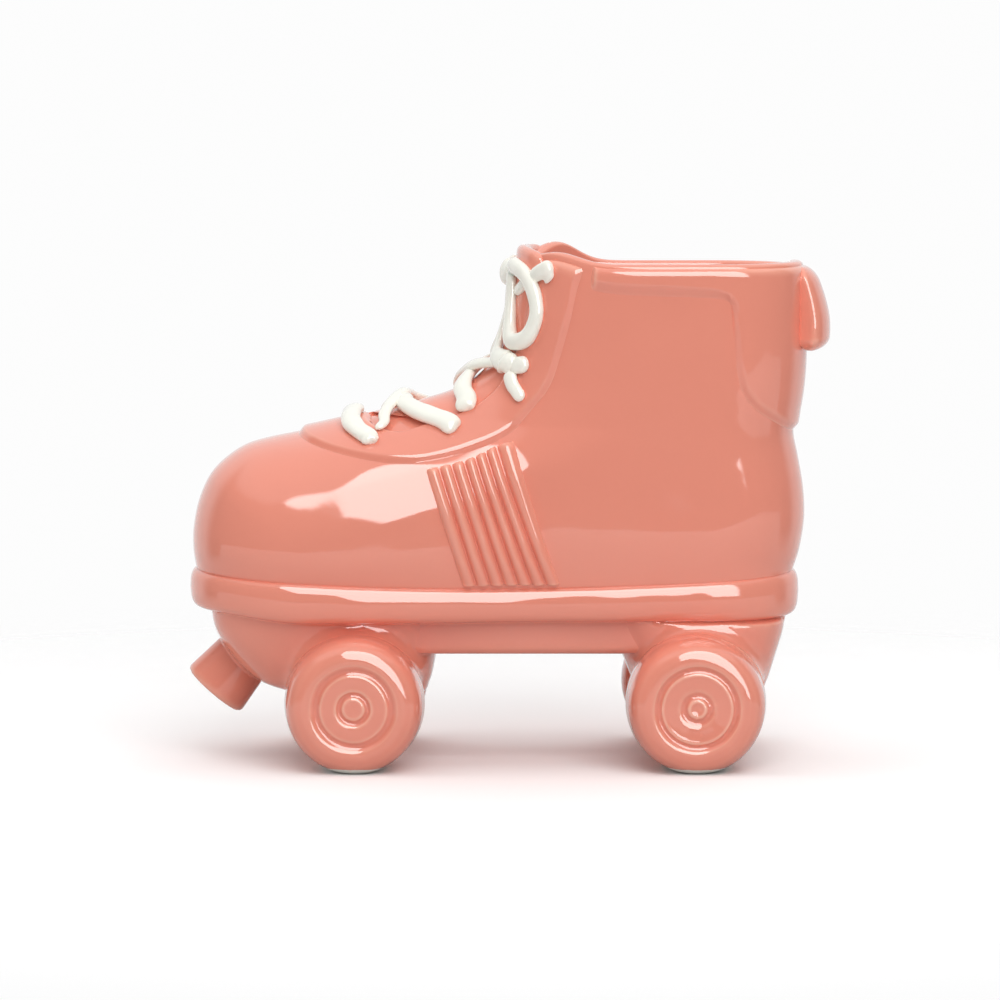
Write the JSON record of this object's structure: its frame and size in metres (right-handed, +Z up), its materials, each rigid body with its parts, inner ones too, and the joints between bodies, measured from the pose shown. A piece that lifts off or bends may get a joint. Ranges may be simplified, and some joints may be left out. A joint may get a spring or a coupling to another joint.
{
  "type": "roller skate vase",
  "caption": "Glazed ceramic vase shaped like a quad roller skate, an open hollow boot on four fixed wheels.",
  "frame": {"origin": "on the table under the middle of the object's box", "axes": "+X from toe to heel, +Y to the skate's right side, +Z up"},
  "size_m": [0.2015, 0.094, 0.1605],
  "materials": {
    "coral_glaze": "high gloss coral glaze over white earthenware, thinner and paler on raised edges, bare white under the wheels",
    "white_glaze": "glossy warm white glaze"
  },
  "bodies": {
    "root": {"boot_shell": "coral_glaze", "sole_band": "coral_glaze", "lace_facing": "coral_glaze", "tongue": "coral_glaze", "collar_and_heel_patch": "coral_glaze", "ribbed_panel_left": "coral_glaze", "ribbed_panel_right": "coral_glaze", "pull_tab": "coral_glaze", "front_truck_tub": "coral_glaze", "rear_truck_tub": "coral_glaze", "arch_keel": "coral_glaze", "toe_stop": "coral_glaze", "front_left_wheel": "coral_glaze", "front_right_wheel": "coral_glaze", "rear_left_wheel": "coral_glaze", "rear_right_wheel": "coral_glaze", "bow_knot": "white_glaze", "bow_loop_left": "white_glaze", "bow_loop_right": "white_glaze", "bow_tail_left": "white_glaze", "bow_tail_right": "white_glaze", "eyelet_knot_left": "white_glaze", "eyelet_knot_right": "white_glaze", "lace_riser_left": "white_glaze", "lace_riser_right": "white_glaze", "lace_stub_left": "white_glaze", "lace_stub_right": "white_glaze", "lace_end_left": "white_glaze", "lace_end_right": "white_glaze", "upper_cross_left": "white_glaze", "upper_cross_right": "white_glaze", "lower_cross_left": "white_glaze", "lower_cross_right": "white_glaze", "front_bar": "white_glaze"}
  },
  "joints": []
}
